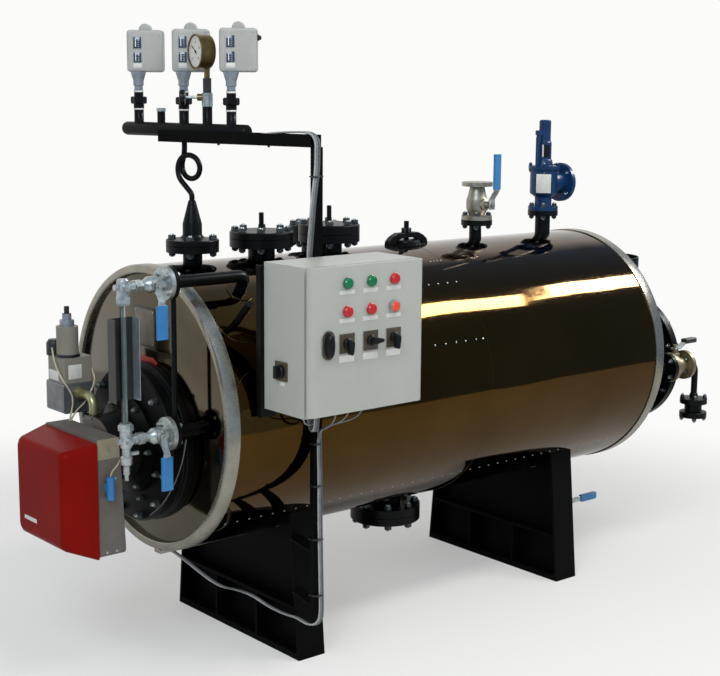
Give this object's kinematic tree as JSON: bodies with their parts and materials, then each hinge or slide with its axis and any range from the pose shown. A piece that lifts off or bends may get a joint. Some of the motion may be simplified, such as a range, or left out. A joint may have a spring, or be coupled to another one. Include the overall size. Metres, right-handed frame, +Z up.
{
  "type": "industrial boiler",
  "caption": "Horizontal steam boiler on saddle legs with a burner at one end, water gauge, top valves, pressure switches and a hinged control cabinet.",
  "frame": {"origin": "centre of the front saddle leg's underside", "axes": "+X along the shell from the burner end to the flue end, +Z up; the control cabinet is on the -Y side"},
  "size_m": [3.11, 1.3045, 2.229],
  "materials": {
    "mirror_steel": "polished",
    "bright_steel": "brushed",
    "black_paint": "satin",
    "burner_red": "gloss",
    "burner_grey": "matt",
    "capacitor_blue": "satin",
    "cast_alloy": "as cast",
    "instrument_grey": "matt",
    "yellow_zinc": "satin",
    "zinc": "satin",
    "lever_blue": "satin",
    "glass": "clear",
    "protector_grey": "satin",
    "valve_blue": "gloss",
    "brass": "satin",
    "cabinet_grey": "fine texture",
    "signal_plastic": "gloss",
    "knob_black": "matt",
    "cable_grey": "matt"
  },
  "bodies": {
    "boiler": {"arm_cables": "cable_grey", "blowdown_valve": "zinc", "burner_body": "burner_grey", "burner_capacitor": "capacitor_blue", "burner_cover": "burner_red", "burner_door": "black_paint", "cabinet_cables": "cable_grey", "cabinet_case": "cabinet_grey", "cabinet_rail": "black_paint", "feed_pipe": "black_paint", "feed_valve": "zinc", "flue_outlet": "black_paint", "front_leg": "black_paint", "front_plate": "mirror_steel", "front_ring": "bright_steel", "gas_actuator": "instrument_grey", "gas_block": "cast_alloy", "gas_elbow": "yellow_zinc", "gauge_cock": "zinc", "gauge_glass": "glass", "gauge_pipes": "black_paint", "gauge_protector": "protector_grey", "handhole_cover": "black_paint", "handhole_yoke": "black_paint", "jacket": "mirror_steel", "leg_cable": "cable_grey", "lower_gauge_cock": "zinc", "manifold": "black_paint", "nozzle_covers": "black_paint", "pipe_post": "black_paint", "pressure_gauge": "brass", "pressure_switch_1": "instrument_grey", "pressure_switch_2": "instrument_grey", "pressure_switch_3": "instrument_grey", "rear_leg": "black_paint", "rear_plate": "mirror_steel", "rear_ring": "bright_steel", "rosettes": "mirror_steel", "safety_valve": "valve_blue", "shell_nozzles": "black_paint", "siphon": "black_paint", "smokebox": "black_paint", "smokebox_cover": "black_paint", "steam_reducer": "black_paint", "upper_gauge_cock": "zinc", "vent_valve": "zinc"},
    "cabinet_door": {"cabinet_door": "cabinet_grey", "door_fittings": "signal_plastic"},
    "latch": {"door_latch": "knob_black"},
    "knob_1": {"selector_knob_1": "knob_black"},
    "knob_2": {"selector_knob_2": "knob_black"},
    "knob_3": {"selector_knob_3": "knob_black"},
    "isolator": {"isolator_knob": "knob_black"},
    "upper_gauge_handle": {"upper_gauge_lever": "lever_blue"},
    "lower_gauge_handle": {"lower_gauge_lever": "lever_blue"},
    "vent_handle": {"vent_lever": "lever_blue"},
    "lifting_handle": {"lift_lever": "zinc"},
    "feed_handle": {"feed_lever": "lever_blue"},
    "blowdown_handle": {"blowdown_lever": "lever_blue"},
    "gauge_cock_wheel": {"gauge_wheel": "knob_black"}
  },
  "joints": [
    {"name": "cabinet_door_hinge", "type": "hinge", "parent": "boiler", "child": "cabinet_door", "pos_m": [0.17, -0.7445, 1.2205], "axis": [0, 0, 1], "range_deg": [0, 110]},
    {"name": "latch_turn", "type": "hinge", "parent": "cabinet_door", "child": "latch", "pos_m": [-0.237, -0.7705, 1.215], "axis": [0, 1, 0], "range_deg": [0, 90]},
    {"name": "knob_1_turn", "type": "hinge", "parent": "cabinet_door", "child": "knob_1", "pos_m": [-0.16, -0.7705, 1.214], "axis": [0, 1, 0], "range_deg": [-90, 0]},
    {"name": "knob_2_turn", "type": "hinge", "parent": "cabinet_door", "child": "knob_2", "pos_m": [-0.0625, -0.7705, 1.214], "axis": [0, 1, 0], "range_deg": [-90, 0]},
    {"name": "knob_3_turn", "type": "hinge", "parent": "cabinet_door", "child": "knob_3", "pos_m": [0.035, -0.7705, 1.214], "axis": [0, 1, 0], "range_deg": [0, 90]},
    {"name": "isolator_turn", "type": "hinge", "parent": "boiler", "child": "isolator", "pos_m": [-0.306, -0.622, 1.118], "axis": [1, 0, 0], "range_deg": [0, 90]},
    {"name": "upper_gauge_lever_turn", "type": "hinge", "parent": "boiler", "child": "upper_gauge_handle", "pos_m": [-0.586, -0.345, 1.385], "axis": [0, 1, 0], "range_deg": [0, 90]},
    {"name": "lower_gauge_lever_turn", "type": "hinge", "parent": "boiler", "child": "lower_gauge_handle", "pos_m": [-0.576, -0.345, 0.886], "axis": [0, 1, 0], "range_deg": [0, 90]},
    {"name": "vent_lever_turn", "type": "hinge", "parent": "boiler", "child": "vent_handle", "pos_m": [1.159, -0.084, 1.544], "axis": [0, 1, 0], "range_deg": [0, 90]},
    {"name": "lifting_lever_turn", "type": "hinge", "parent": "boiler", "child": "lifting_handle", "pos_m": [1.515, 0, 1.828], "axis": [0, 1, 0], "range_deg": [0, 25]},
    {"name": "feed_lever_turn", "type": "hinge", "parent": "boiler", "child": "feed_handle", "pos_m": [2.048, -0.35, 0.893], "axis": [0, 0, -1], "range_deg": [0, 90]},
    {"name": "blowdown_lever_turn", "type": "hinge", "parent": "boiler", "child": "blowdown_handle", "pos_m": [1.559, -0.196, 0.25], "axis": [0, 1, 0], "range_deg": [0, 90]},
    {"name": "gauge_wheel_turn", "type": "hinge", "parent": "boiler", "child": "gauge_cock_wheel", "pos_m": [-0.26559, -0.01898, 1.975], "axis": [-0.7672, 0.6414, 0], "range_deg": [0, 270]}
  ]
}
